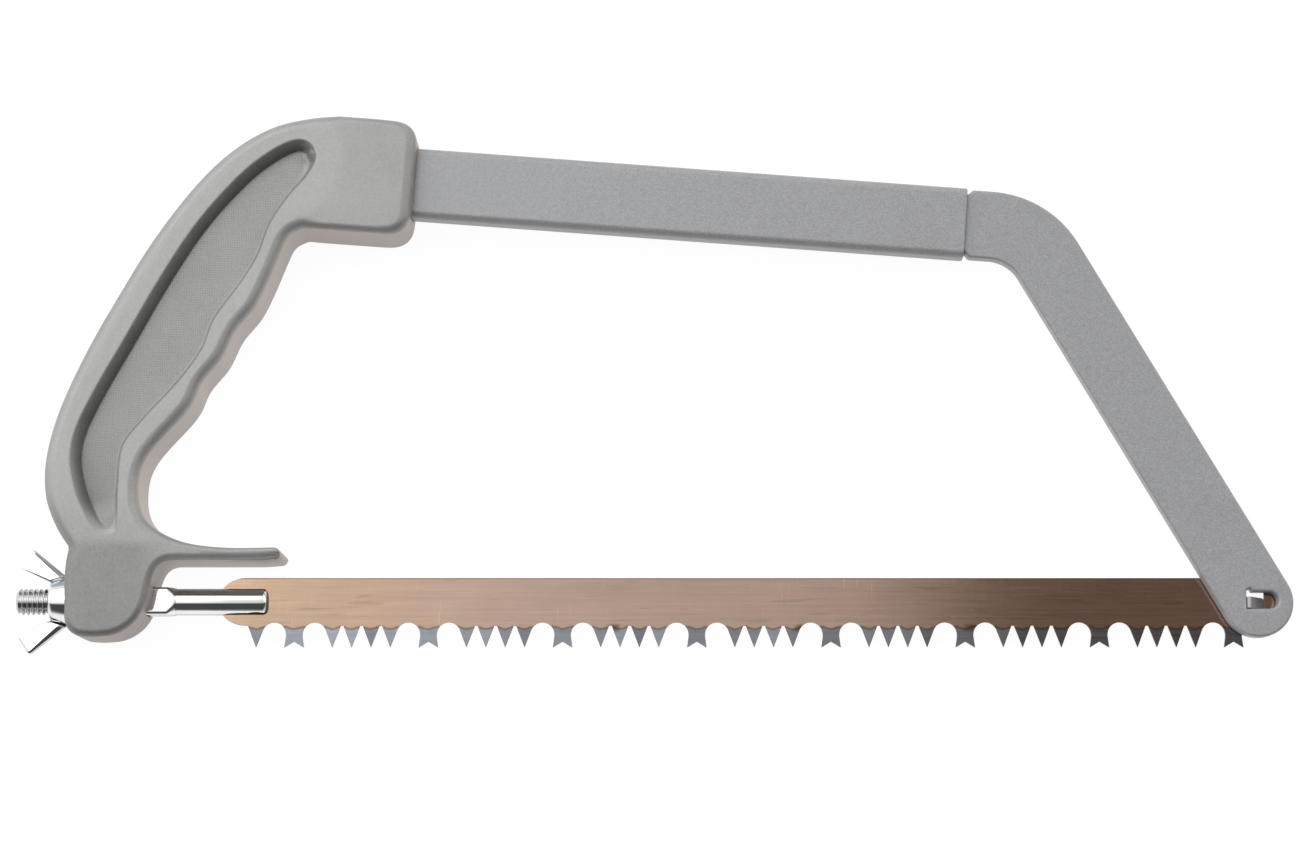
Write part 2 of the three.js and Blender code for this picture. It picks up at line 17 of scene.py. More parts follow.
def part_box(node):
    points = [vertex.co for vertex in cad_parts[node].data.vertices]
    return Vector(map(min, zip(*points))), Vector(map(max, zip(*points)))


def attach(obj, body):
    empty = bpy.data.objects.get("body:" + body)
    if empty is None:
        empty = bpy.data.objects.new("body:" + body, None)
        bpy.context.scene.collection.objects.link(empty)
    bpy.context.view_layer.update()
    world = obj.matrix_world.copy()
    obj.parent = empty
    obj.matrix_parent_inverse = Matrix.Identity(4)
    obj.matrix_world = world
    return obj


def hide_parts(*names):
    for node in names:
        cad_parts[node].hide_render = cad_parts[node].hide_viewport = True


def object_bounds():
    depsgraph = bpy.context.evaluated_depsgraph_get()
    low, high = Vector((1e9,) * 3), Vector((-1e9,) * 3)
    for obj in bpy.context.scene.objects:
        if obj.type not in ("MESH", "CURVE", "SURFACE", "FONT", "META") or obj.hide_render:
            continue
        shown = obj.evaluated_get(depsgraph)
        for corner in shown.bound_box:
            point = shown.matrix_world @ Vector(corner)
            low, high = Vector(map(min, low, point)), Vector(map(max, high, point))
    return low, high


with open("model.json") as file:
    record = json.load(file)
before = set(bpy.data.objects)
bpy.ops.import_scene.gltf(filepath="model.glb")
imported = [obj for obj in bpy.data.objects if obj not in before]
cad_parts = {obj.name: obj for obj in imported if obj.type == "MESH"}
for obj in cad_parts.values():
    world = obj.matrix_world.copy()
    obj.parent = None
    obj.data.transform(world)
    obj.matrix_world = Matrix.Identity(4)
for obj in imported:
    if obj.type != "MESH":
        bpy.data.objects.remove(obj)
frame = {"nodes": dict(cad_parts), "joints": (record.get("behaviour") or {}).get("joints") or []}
cad_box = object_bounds()

bl_info = {
    "name": "Take-down bow saw",
    "version": (1, 0, 0),
    "blender": (4, 5, 0),
    "location": "View3D > Sidebar > Bow saw",
    "description": "Dresses the packed bow saw and sets its studio",
    "category": "Object",
}

MM = 0.001
# Name of the mesh value that holds the handle's painted shade
SHADE_ATTRIBUTE = "soil"
SKIN_IOR = 1.5
FIRST_RAKER = 51.6 * MM
TOOTH_PITCH = 5.28 * MM


# Sizes and colours that a user would change

def length(name, description, default):
    """A length property, in metres."""
    return FloatProperty(name=name, description=description, default=default, unit="LENGTH", precision=5)


def colour(name, description, default):
    """A colour property, as linear red, green and blue."""
    return FloatVectorProperty(name=name, description=description, default=default, subtype="COLOR",
                               min=0.0, max=1.0)


def share(name, description, default):
    """A plain share from 0 to 1."""
    return FloatProperty(name=name, description=description, default=default, subtype="FACTOR",
                         min=0.0, max=1.0)


class HandleLooks(bpy.types.PropertyGroup):
    """Soft forms and finish of the cast handle."""
    edge_round: length("Edge round", "Radius where the faces turn into the sides", 2.0 * MM)
    grip_round: length("Grip round", "Radius of that edge along the palm and the fingers", 3.0 * MM)
    tip_round: length("Guard tip round", "Radius of that edge under the tip of the finger guard", 2.3 * MM)
    panel_depth: length("Panel depth", "Depth of the panel along the back of the grip", 3.1 * MM)
    panel_step: length("Panel step", "Depth of the panel along the fingers", 0.32 * MM)
    cove_width: length("Cove width", "Width of the hollow between rim and panel floor", 2.5 * MM)
    dot_pitch: length("Dot pitch", "Distance between the fine dots on the panel floor", 1.0 * MM)
    cast_colour: colour("Cast colour", "Bead-blasted cast metal", (0.316, 0.315, 0.31))
    # Painted light: a warmer, lighter colour on the upright sides stands in for the floor's warm bounce light
    side_bounce_colour: colour("Side colour", "Warmer tone of the casting's upright sides", (0.41, 0.365, 0.34))
    roughness: share("Roughness", "How dull the blasted skin is", 0.44)


class FrameLooks(bpy.types.PropertyGroup):
    """Soft edges and paint of the tube and the front arm."""
    arm_round: length("Arm edge", "Radius along the arm's edges", 0.75 * MM)
    lip_round: length("Tube lip", "Radius at the tube's open ends", 0.25 * MM)
    paint_colour: colour("Paint", "Silver-grey metallic powder coat", (0.326, 0.33, 0.341))
    fleck_size: length("Fleck size", "Size of the bright flecks in the coat", 0.24 * MM)
    roughness: share("Roughness", "How dull the coat is", 0.42)


class BladeLooks(bpy.types.PropertyGroup):
    """Finish of the blade and its teeth."""
    end_reach: length("Pin end", "How far the round end at the pin passes the end of its solid", 1.1 * MM)
    ground_line: length("Ground line", "Height of the line below which the teeth are ground bare", -7.2 * MM)
    lacquer_colour: colour("Lacquer", "Copper-toned lacquer over brushed steel", (0.459, 0.328, 0.266))
    amber_colour: colour("Amber lacquer", "Yellower tone of the lacquer near the pin", (0.459, 0.324, 0.23))
    tooth_colour: colour("Teeth", "Ground and hardened steel", (0.27, 0.28, 0.31))
    stain_colour: colour("Stain", "Brown stain at some tooth roots", (0.09, 0.045, 0.025))
    roughness: share("Roughness", "How dull the lacquer is", 0.1)


class HardwareLooks(bpy.types.PropertyGroup):
    """Forms and finish of the drawbar, wing nut, pin and hook."""
    thread_pitch: length("Thread pitch", "Travel of one turn", 1.411 * MM)
    thread_depth: length("Thread depth", "From crest to root", 0.72 * MM)
    wing_thickness: length("Wing thickness", "Thickness of the wings at their tips", 2.3 * MM)
    wing_flank: length("Wing flank", "Width of the slope along a wing's edge", 1.3 * MM)
    wing_corner: length("Wing corner", "Radius at the tips of the wings", 0.9 * MM)
    rod_chamfer: length("Rod chamfer", "Chamfer at the slotted end", 0.9 * MM)
    rod_reach: length("Rod reach", "How far the slotted end passes the end of its solid", 0.8 * MM)
    plate_colour: colour("Plating", "Bright plated steel", (0.83, 0.835, 0.84))
    # Painted reflection: a bluish tint on the nut's side that faces the tube, standing in for the sky it
    # reflects
    nut_top_reflection_colour: colour("Nut's upper side", "Plating of the nut that faces the tube", (0.34, 0.37, 0.41))
    hook_colour: colour("Hook", "Bare steel of the hook", (0.55, 0.53, 0.56))
    roughness: share("Roughness", "How dull the plating is", 0.07)


class StudioLooks(bpy.types.PropertyGroup):
    """Floor, light and camera."""
    floor_drop: length("Floor drop", "How far the floor lies under the saw", 0.3 * MM)
    floor_colour: colour("Floor", "Plain pale floor", (0.9, 0.885, 0.875))
    glow_colour: colour("Floor glow", "Warm light that the floor throws back at the saw", (1.0, 0.975, 0.955))
    focal_length: FloatProperty(name="Focal length", description="Camera lens on a 36 mm sensor, in mm",
                                default=86.55)
    camera_tilt: FloatProperty(name="Camera tilt", description="Lean of the camera towards the tube",
                               default=math.radians(8.705), subtype="ANGLE")
    camera_place: FloatVectorProperty(name="Camera place", description="Where the camera hangs",
                                      default=(0.15014, -0.08512, 0.87171), subtype="TRANSLATION")


# Shader maths

class Value:
    """One output of a node tree. Arithmetic on it adds Math nodes."""

    def __init__(self, shader, socket):
        self.shader = shader
        self.socket = socket

    def math(self, operation, *others):
        inputs = dict(enumerate((self, *others)))
        return self.shader.node("Math", {"operation": operation}, inputs)

    def __add__(self, other):
        return self.math("ADD", other)

    __radd__ = __add__

    def __sub__(self, other):
        return self.math("SUBTRACT", other)

    def __rsub__(self, other):
        return self.math("MULTIPLY", -1.0) + other

    def __mul__(self, other):
        return self.math("MULTIPLY", other)

    __rmul__ = __mul__

    def __truediv__(self, other):
        return self.math("DIVIDE", other)

    def smooth(self, low, high):
        """0 below low, 1 above high, and an eased rise between."""
        return self.shader.node("MapRange", {"interpolation_type": "SMOOTHSTEP", "clamp": True},
                                {0: self, 1: low, 2: high})


class Shader:
    """Adds nodes to one material's or world's tree."""

    def __init__(self, tree):
        self.tree = tree

    def feed(self, socket, value):
        if isinstance(value, Value):
            self.tree.links.new(value.socket, socket)
        else:
            socket.default_value = value

    def node(self, kind, settings=None, inputs=None, output=0):
        """Adds a node: its settings first, then its inputs by name or place. Gives one of its outputs."""
        made = self.tree.nodes.new("ShaderNode" + kind)
        for name, value in (settings or {}).items():
            setattr(made, name, value)
        for name, value in (inputs or {}).items():
            self.feed(made.inputs[name], value)
        return Value(self, made.outputs[output])

    def mix(self, factor, first, second, blend="MIX"):
        """A colour between two colours."""
        first, second = [end if isinstance(end, Value) else (*end, 1.0) for end in (first, second)]
        settings = {"data_type": "RGBA", "blend_type": blend}
        return self.node("Mix", settings, {0: factor, 6: first, 7: second}, 2)

    def shaded(self, colour, tone):
        """A colour made lighter or darker by a tone about 1."""
        return self.mix(1.0, colour, self.node("CombineColor", None, {0: tone, 1: tone, 2: tone}), "MULTIPLY")

    def place(self):
        """Place on the piece, in metres."""
        return self.node("TexCoord", output="Object")

    def parts(self, vector):
        """The three numbers of a vector."""
        first = self.node("SeparateXYZ", None, {0: vector})
        return [Value(self, socket) for socket in first.socket.node.outputs]

    def noise(self, vector, scale, detail=2.0, roughness=0.5):
        """Soft noise from 0 to 1, with about scale blobs to the metre, all ways or along each axis."""
        if isinstance(scale, tuple):
            vector = self.node("VectorMath", {"operation": "MULTIPLY"}, {0: vector, 1: scale})
            scale = 1.0
        inputs = {"Vector": vector, "Scale": scale, "Detail": detail, "Roughness": roughness}
        return self.node("TexNoise", None, inputs)

    def normal(self):
        """The three numbers of the surface's normal."""
        return self.parts(self.node("NewGeometry", output="Normal"))

    def bump(self, height, distance, strength):
        """A normal tilted by a height from 0 to 1, over a distance in metres."""
        return self.node("Bump", None, {"Height": height, "Distance": distance, "Strength": strength})


class Surface(Shader):
    """The nodes of a new material."""

    def __init__(self, name):
        self.material = bpy.data.materials.new(name)
        self.material.use_nodes = True
        super().__init__(self.material.node_tree)
        self.main = self.tree.nodes["Principled BSDF"]

    def finished(self, inputs):
        """The material, once the inputs of its main node are set or linked."""
        for name, value in inputs.items():
            self.feed(self.main.inputs[name], value)
        return self.material


def cast_skin(looks):
    """Bead-blasted casting: fine grain, soft mottling, and faint dots on the panel floors."""
    shader = Surface("cast_skin")
    place = shader.place()
    x, y, z = shader.parts(place)
    grain = shader.noise(place, 1700.0, 3.0, 0.65)
    mottle = shader.noise(place, 130.0, 3.0)
    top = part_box("handle")[1].z
    facing = shader.normal()[2].math("ABSOLUTE")
    under_face = top / 2 - (z - top / 2).math("ABSOLUTE")
    sunk = under_face.smooth(0.28 * MM, 0.5 * MM) * facing.smooth(0.9, 0.97)
    waves = [(axis * (2 * math.pi / looks.dot_pitch)).math("SINE") for axis in (x + y, x - y)]
    dots = (waves[0] * waves[1]).smooth(0.1, 0.8) * sunk
    smoke = shader.noise(place, 42.0)
    # Painted shade: darker along the panel's run-out and down its cove, and lighter along the grip's rim
    soil = shader.node("Attribute", {"attribute_name": SHADE_ATTRIBUTE}, output="Fac")
    boss = (1 - y.smooth(13 * MM, 17 * MM)) * (1 - x.smooth(8 * MM, 20 * MM))
    tone = grain * 0.42 + mottle * 0.2 + (smoke - 0.5) * 0.2 + 0.7
    tone = tone - dots * 0.34 - sunk * 0.2 - soil * 0.62 - boss * 0.26
    # Painted light: upright sides take the warmer side colour, standing in for warm light thrown back by the
    # floor
    upright = 1 - facing.smooth(0.1, 0.6)
    return shader.finished({
        "Base Color": shader.shaded(shader.mix(upright, looks.cast_colour, looks.side_bounce_colour), tone),
        "IOR": SKIN_IOR,
        "Metallic": 0.4 + upright * 0.1,
        "Roughness": looks.roughness + (mottle - 0.5) * 0.12,
        "Normal": shader.bump(grain + dots * 0.6, 0.05 * MM, 0.55),
    })


def metallic_paint(looks):
    """Powder coat with bright flecks and a faint orange peel."""
    shader = Surface("metallic_paint")
    place = shader.place()
    flecks = {"Vector": place, "Scale": 1 / looks.fleck_size}
    glint = shader.parts(shader.node("TexVoronoi", {"feature": "F1"}, flecks, "Color"))[0]
    peel = shader.noise(place, 900.0)
    mottle = shader.noise(place, 60.0)
    tone = 0.83 + glint * 0.32 + (mottle - 0.5) * 0.08
    return shader.finished({
        "Base Color": shader.shaded(looks.paint_colour, tone),
        "IOR": SKIN_IOR,
        "Metallic": 0.2,
        "Roughness": looks.roughness + (glint - 0.5) * 0.2,
        "Coat Weight": 0.15,
        "Coat Roughness": 0.3,
        "Normal": shader.bump(glint * 0.5 + peel, 0.03 * MM, 0.5),
    })


def lacquered_steel(looks):
    """Brushed steel under copper-toned lacquer, ground bare at the teeth, with stains and scratches."""
    shader = Surface("lacquered_steel")
    place = shader.place()
    x, y, _ = shader.parts(place)
    brush = shader.noise(place, (60, 4200, 60), 3.0, 0.6)
    streak = shader.noise(place, (18, 900, 18))
    cloud = shader.noise(place, 90.0, 3.0)
    scratch = shader.noise(place, (110, 2300, 110), 1.0).smooth(0.7, 0.78)
    smudge = shader.noise(place, (45, 420, 45)).smooth(0.62, 0.72)
    rub = shader.noise(place, (2600, 150, 150), 1.0).smooth(0.68, 0.76)
    spots = shader.noise(place, (95, 30, 30), 1.0).smooth(0.62, 0.7)
    tooth = (x - FIRST_RAKER) / TOOTH_PITCH
    arch = (tooth * (2 * math.pi)).math("COSINE") * (0.32 * MM)
    above = y - looks.ground_line
    above_line = above + (shader.noise(place, 500.0, 1.0) - 0.5) * (0.5 * MM) + arch
    ground = 1 - above_line.smooth(-0.12 * MM, 0.12 * MM)
    line = 1 - above_line.math("ABSOLUTE").smooth(0.1 * MM, 0.5 * MM)
    near = 1 - above.math("ABSOLUTE").smooth(0.4 * MM, 1.5 * MM)
    tone = 0.8 + brush * 0.28 + (streak - 0.5) * 0.22 + (cloud - 0.5) * 0.14
    tone = tone - scratch * 0.2 - smudge * 0.16 + rub * cloud * 0.22
    lacquer = shader.mix(x.smooth(50 * MM, 120 * MM), looks.amber_colour, looks.lacquer_colour)
    # Painted reflection: each tooth a little lighter or darker at random, standing in for set teeth catching
    # the light differently
    place_in_row = (tooth + 0.5).math("FLOOR")
    each = shader.node("TexWhiteNoise", {"noise_dimensions": "1D"}, {"W": place_in_row}, "Value")
    steel = shader.shaded(looks.tooth_colour, tone * (0.72 + each * 0.5))
    base = shader.mix(ground, shader.shaded(lacquer, tone), steel)
    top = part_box("saw_blade")[1].y
    crown = y.smooth(top - 0.45 * MM, top - 0.15 * MM) * (0.25 + cloud * 0.6)
    for stain in (line * 0.55, near * spots * 0.8, crown):
        base = shader.mix(stain, base, looks.stain_colour)
    return shader.finished({
        "Base Color": base,
        "Metallic": 1.0,
        "Roughness": looks.roughness + (brush - 0.5) * 0.08 + ground * 0.03,
        "Normal": shader.bump(brush, 0.02 * MM, 0.35),
    })


def bright_plate(looks, name, thread_stop, crown=0.0):
    """Bright plating with turning marks and haze, duller along a thread, painted darker on steep sides. crown
    paints a reflection tint on its upper side.
    """
    shader = Surface(name)
    place = shader.place()
    thread = 1 - shader.parts(place)[0].smooth(thread_stop - 0.3 * MM, thread_stop)
    rings = shader.noise(place, (5200, 60, 60))
    haze = shader.noise(place, 240.0, 3.0)
    _, upward, facing = shader.normal()
    # Painted shade: steep sides are darker, standing in for the dark reflection of the shadowed floor
    flat = facing.math("ABSOLUTE").smooth(0.0, 0.45)
    tone = (0.94 + haze * 0.1) * (0.35 + flat * 0.65) * (1 - thread * 0.3)
    base = shader.shaded(looks.plate_colour, tone)
    return shader.finished({
        # Painted reflection: the nut's side that faces the tube takes the tint of the sky it reflects
        "Base Color": shader.mix(upward.smooth(0.55, 0.68) * crown, base, looks.nut_top_reflection_colour),
        "Metallic": 1.0,
        "Roughness": looks.roughness + haze.smooth(0.45, 0.75) * 0.07 + thread * 0.1,
        "Normal": shader.bump(rings, 0.01 * MM, 0.25),
    })


def bare_steel(looks):
    """Dark bare steel with scale and a drawn grain."""
    shader = Surface("bare_steel")
    place = shader.place()
    grain = shader.noise(place, (900, 300, 3000))
    scale = shader.noise(place, 420.0, 3.0)
    return shader.finished({
        "Base Color": shader.shaded(looks.hook_colour, 0.7 + grain * 0.35 + scale * 0.25),
        "Metallic": 1.0,
        "Roughness": 0.5 + scale * 0.2,
        "Normal": shader.bump(grain, 0.02 * MM, 0.4),
    })


# Outlines taken from the frame

def chain(edges):
    """Orders loose edges into closed rings of vertices."""
    ways = {}
    for edge in edges:
        for here, there in (edge.verts, reversed(edge.verts)):
            ways.setdefault(here, []).append(there)
    rings = []
    while ways:
        ring = [next(iter(ways))]
        ahead = ways.pop(ring[0])
        while ahead:
            ring.append(ahead[0])
            ahead = [vertex for vertex in ways.pop(ahead[0]) if vertex in ways]
        rings.append(ring)
    return rings


def section(node, height):
    """Rings where a level plane cuts a node, largest first: arrays of x and y, counter-clockwise."""
    mesh = bmesh.new()
    mesh.from_mesh(frame["nodes"][node].data)
    bmesh.ops.remove_doubles(mesh, verts=mesh.verts, dist=1e-7)
    geom = [*mesh.verts, *mesh.edges, *mesh.faces]
    cut = bmesh.ops.bisect_plane(mesh, geom=geom, dist=1e-8, plane_co=(0, 0, height), plane_no=(0, 0, 1))
    edges = [item for item in cut["geom_cut"] if isinstance(item, bmesh.types.BMEdge)]
    rings = [np.array([vertex.co.xy for vertex in ring]) for ring in chain(edges)]
    mesh.free()
    rings.sort(key=lambda ring: -abs(area(ring)))
    return [ring if area(ring) > 0 else ring[::-1] for ring in rings]


def area(ring):
    """Area inside a ring, negative if it runs clockwise."""
    after = np.roll(ring, -1, axis=0)
    return 0.5 * float(np.sum(ring[:, 0] * after[:, 1] - after[:, 0] * ring[:, 1]))


def turns(ring):
    """The turn at each point of a ring, in radians."""
    before = ring - np.roll(ring, 1, axis=0)
    after = np.roll(ring, -1, axis=0) - ring
    cross = before[:, 0] * after[:, 1] - before[:, 1] * after[:, 0]
    return np.arctan2(cross, np.sum(before * after, axis=1))


def eased(ring, step, corner=math.radians(42)):
    """A ring with its facets eased into curves. Corners and long straight runs stay."""
    ring = ring[np.abs(turns(ring)) > math.radians(0.4)]
    turn = np.abs(turns(ring))
    runs = np.roll(ring, -1, axis=0) - ring
    lengths = np.linalg.norm(runs, axis=1)
    ways = runs / lengths[:, None]
    points = []
    joints = [tangent(ways[i - 1], ways[i], lengths[i - 1], lengths[i]) for i in range(len(ring))]
    for i in range(len(ring)):
        end = (i + 1) % len(ring)
        start_way, end_way = [ways[i] if turn[j] > corner else joints[j] for j in (i, end)]
        bent = max(np.dot(start_way, start_way - ways[i]), np.dot(end_way, end_way - ways[i])) > 1e-6
        count = max(1, math.ceil(lengths[i] / step)) if bent else 1
        points += [hermite(ring[i], ring[end], start_way * lengths[i], end_way * lengths[i], k / count)
                   for k in range(count)]
    return np.array(points)


def tangent(way_in, way_out, length_in, length_out):
    """Direction of the curve between two runs. A run much longer than the other keeps its own."""
    much = 2.5
    if length_in > much * length_out:
        return way_in
    if length_out > much * length_in:
        return way_out
    blend = way_in * length_out + way_out * length_in
    return blend / np.linalg.norm(blend)


def hermite(start, end, start_pull, end_pull, t):
    """A point on the cubic between two points with given pulls."""
    return ((2 * t ** 3 - 3 * t ** 2 + 1) * start + (t ** 3 - 2 * t ** 2 + t) * start_pull
            + (3 * t ** 2 - 2 * t ** 3) * end + (t ** 3 - t ** 2) * end_pull)


def resampled(ring, step):
    """A ring with points about a step apart."""
    closed = np.vstack([ring, ring[:1]])
    way = np.concatenate([[0], np.cumsum(np.linalg.norm(np.diff(closed, axis=0), axis=1))])
    marks = np.linspace(0, way[-1], max(8, round(way[-1] / step)), endpoint=False)
    return np.stack([np.interp(marks, way, closed[:, axis]) for axis in (0, 1)], axis=1)


def curve_through(points, steps):
    """A closed smooth ring through a few points."""
    points = np.array(points)
    ahead = np.roll(points, -1, axis=0)
    pull = (ahead - np.roll(points, 1, axis=0)) / 2
    pull_ahead = np.roll(pull, -1, axis=0)
    return np.vstack([hermite(points[i], ahead[i], pull[i], pull_ahead[i], k / steps)
                      for i in range(len(points)) for k in range(steps)])


def eased_rise(values, low, high):
    """0 at low, 1 at high, and an eased rise between."""
    t = np.clip((values - low) / (high - low), 0, 1)
    return t * t * (3 - 2 * t)


def circle(count):
    """Angles of equal steps round a circle."""
    return [2 * math.pi * i / count for i in range(count)]


def slope(field, points, step):
    """Rise of a field along x and along y at each point."""
    ways = np.eye(2) * step
    return np.stack([(field(points + way) - field(points - way)) / (2 * step) for way in ways], axis=1)


def outward(ring):
    """Mitred outward direction at each point of a counter-clockwise ring."""
    before = ring - np.roll(ring, 1, axis=0)
    after = np.roll(ring, -1, axis=0) - ring
    before /= np.linalg.norm(before, axis=1)[:, None]
    after /= np.linalg.norm(after, axis=1)[:, None]
    way = before + after
    way /= np.linalg.norm(way, axis=1)[:, None]
    reach = np.clip(np.sum(way * after, axis=1), 0.4, 1.0)
    return np.stack([way[:, 1], -way[:, 0]], axis=1) / reach[:, None]


def distance_to(points, path):
    """Distance from each point to an open path."""
    start = path[:-1]
    run = np.diff(path, axis=0)
    size = np.sum(run * run, axis=1)
    gaps = np.empty(len(points))
    for i in range(0, len(points), 512):
        away = points[i:i + 512, None, :] - start
        t = np.clip(np.sum(away * run, axis=2) / size, 0, 1)
        gaps[i:i + 512] = np.min(np.linalg.norm(away - t[..., None] * run, axis=2), axis=1)
    return gaps


def gap_to(points, ring):
    """Distance from each point to a ring, positive inside it."""
    start = ring
    end = np.roll(ring, -1, axis=0)
    rise = np.where(end[:, 1] == start[:, 1], 1.0, end[:, 1] - start[:, 1])
    slant = (end[:, 0] - start[:, 0]) / rise
    inside = np.zeros(len(points), bool)
    for i in range(0, len(points), 512):
        part = points[i:i + 512, None, :]
        spanned = (start[:, 1] > part[..., 1]) != (end[:, 1] > part[..., 1])
        right = part[..., 0] < start[:, 0] + slant * (part[..., 1] - start[:, 1])
        inside[i:i + 512] = np.sum(spanned & right, axis=1) % 2 == 1
    gaps = distance_to(points, np.vstack([ring, ring[:1]]))
    return np.where(inside, gaps, -gaps)


# Meshes

def piece(name, vertices, faces, flat=()):
    """A mesh object with smooth faces, apart from those listed as flat."""
    mesh = bpy.data.meshes.new(name)
    mesh.from_pydata([tuple(vertex) for vertex in vertices], [], [list(face) for face in faces])
    mesh.update()
    smooth = np.ones(len(mesh.polygons), bool)
    smooth[list(flat)] = False
    mesh.polygons.foreach_set("use_smooth", smooth)
    made = bpy.data.objects.new(name, mesh)
    bpy.context.scene.collection.objects.link(made)
    return made


def keep_flat(made):
    """Keeps large flat faces flat where they meet soft edges."""
    modifier = made.modifiers.new("flat faces", "WEIGHTED_NORMAL")
    modifier.weight = 100
    return made


def dress(made, material, body, node):
    """Gives a piece its material, its body and the node that it stands for."""
    made.data.materials.clear()
    made.data.materials.append(material)
    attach(made, body)
    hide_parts(node)


def filled(rings):
    """Triangles inside the first ring and outside the others, by places in the joined list of points."""
    points = np.vstack(rings)
    edges = []
    start = 0
    for ring in rings:
        edges += [(start + i, start + (i + 1) % len(ring)) for i in range(len(ring))]
        start += len(ring)
    flat = [Vector(point) for point in points / MM]
    _, _, faces, origins, _, _ = geometry.delaunay_2d_cdt(flat, edges, [], 1, 1e-7)
    faces = [[origins[corner][0] for corner in face] for face in faces]
    middles = np.array([points[face].mean(axis=0) for face in faces])
    keep = gap_to(middles, rings[0]) > 0
    for hole in rings[1:]:
        keep &= gap_to(middles, hole) < 0
    return [face for face, kept in zip(faces, keep) if kept]


def plate(name, rings, bottom, top, edge, steps=4):
    """A flat plate between two heights, with rounded edges round its outline and its holes."""
    levels = []
    for k in range(steps + 1):
        lean = math.pi / 2 * k / steps
        levels.append((edge * (1 - math.sin(lean)), bottom + edge * (1 - math.cos(lean))))
    levels += [(inset, bottom + top - height) for inset, height in reversed(levels)]
    ways = [outward(rings[0])] + [-outward(hole) for hole in rings[1:]]
    total = sum(len(ring) for ring in rings)
    vertices = []
    for inset, height in levels:
        for ring, way in zip(rings, ways):
            vertices += [(x, y, height) for x, y in ring - inset * way]
    faces = []
    start = 0
    top_start = total * (len(levels) - 1)
    for ring in rings:
        count = len(ring)
        for low in range(start, start + top_start, total):
            for i in range(count):
                j = (i + 1) % count
                face = (low + i, low + j, low + total + j, low + total + i)
                faces.append(face if start == 0 else face[::-1])
        start += count
    walls = len(faces)
    caps = filled([ring - edge * way for ring, way in zip(rings, ways)])
    faces += [face[::-1] for face in caps]
    faces += [[corner + top_start for corner in face] for face in caps]
    return piece(name, vertices, faces, range(walls, len(faces)))


def skin(rings, closed=False):
    """Points, faces and places of the end caps over rings of equal counts. A closed skin has no caps."""
    count = len(rings[0])
    vertices = [point for ring in rings for point in ring]
    faces = []
    last = len(rings) if closed else len(rings) - 1
    for level in range(last):
        low = level * count
        high = (level + 1) % len(rings) * count
        faces += [(low + i, low + (i + 1) % count, high + (i + 1) % count, high + i) for i in range(count)]
    walls = len(faces)
    if not closed:
        faces.append(tuple(reversed(range(count))))
        faces.append(tuple(range(len(vertices) - count, len(vertices))))
    return vertices, faces, list(range(walls, len(faces)))


def joined(name, *skins):
    """One mesh object from several skins."""
    vertices, faces, flat = [], [], []
    for own_vertices, own_faces, own_flat in skins:
        flat += [len(faces) + place for place in own_flat]
        faces += [[len(vertices) + corner for corner in face] for face in own_faces]
        vertices += own_vertices
    return piece(name, vertices, faces, flat)


def carve(made, low, high, axis=None):
    """Cuts a box out of a piece. axis turns the box to lie along that direction, about its middle."""
    ends = list(zip(low, high))
    corners = [Vector((x, y, z)) for z in ends[2] for y in ends[1] for x in ends[0]]
    middle = (Vector(low) + Vector(high)) / 2
    if axis is not None:
        turn = Vector((1, 0, 0)).rotation_difference(Vector(axis)).to_matrix()
        corners = [middle + turn @ (corner - middle) for corner in corners]
    sides = [(0, 2, 3, 1), (4, 5, 7, 6), (0, 1, 5, 4), (2, 6, 7, 3), (0, 4, 6, 2), (1, 3, 7, 5)]
    tool = piece("cutter", corners, sides)
    cut = made.modifiers.new("cut", "BOOLEAN")
    cut.object = tool
    cut.operation = "DIFFERENCE"
    cut.solver = "EXACT"
    done = bpy.data.meshes.new_from_object(made.evaluated_get(bpy.context.evaluated_depsgraph_get()))
    made.modifiers.clear()
    old = made.data
    made.data = done
    bpy.data.meshes.remove(old)
    bpy.data.objects.remove(tool)


# The cast handle

# Edge of the grip's sunk panel, in mm: its deep wall down the back of the grip, its run-out up the fingers
PANEL_WALL = [
    (56.5, 124.6), (55.3, 126.6), (52.8, 127.8), (49.6, 127.4), (44.6, 124.9), (37.5, 119.5),
    (29.0, 110.5), (21.3, 100.3), (13.0, 86.6), (4.7, 71.4), (-2.8, 57.8), (-7.9, 46.7),
    (-9.3, 38.8), (-8.3, 31.7), (-5.8, 24.7), (-1.2, 17.4),
]
PANEL_RUN = [
    (3.4, 17.6), (3.9, 23.0), (3.9, 31.0), (5.0, 41.6), (10.7, 49.5), (19.9, 59.8), (26.0, 68.6),
    (29.4, 77.3), (36.2, 87.0), (41.0, 95.2), (44.1, 103.9), (48.9, 111.4), (54.1, 117.6), (56.3, 121.6),
]
# Points on the smooth edge from each of these to the next
CURVE_STEPS = 10
# Where the handle's forms begin and end, in mm: up from the blade, along it, or away from the panel
PANEL_FOOT = (16.0, 27.0)
PANEL_END = (0.0, 4.0)
GUARD_TIP = (30.0, 46.0)
GUARD_ROOT = (14.0, 26.0)
GUARD_EDGES = (10.4, 13.7)
GUARD_TOP = 20.0
GUARD_NOSE = 12.2
NOSE_END = (72.0, 82.0)
GRIP_REACH = (11.5, 6.5)
LIGHTER_RIM_REACH = (10.0, 6.0)


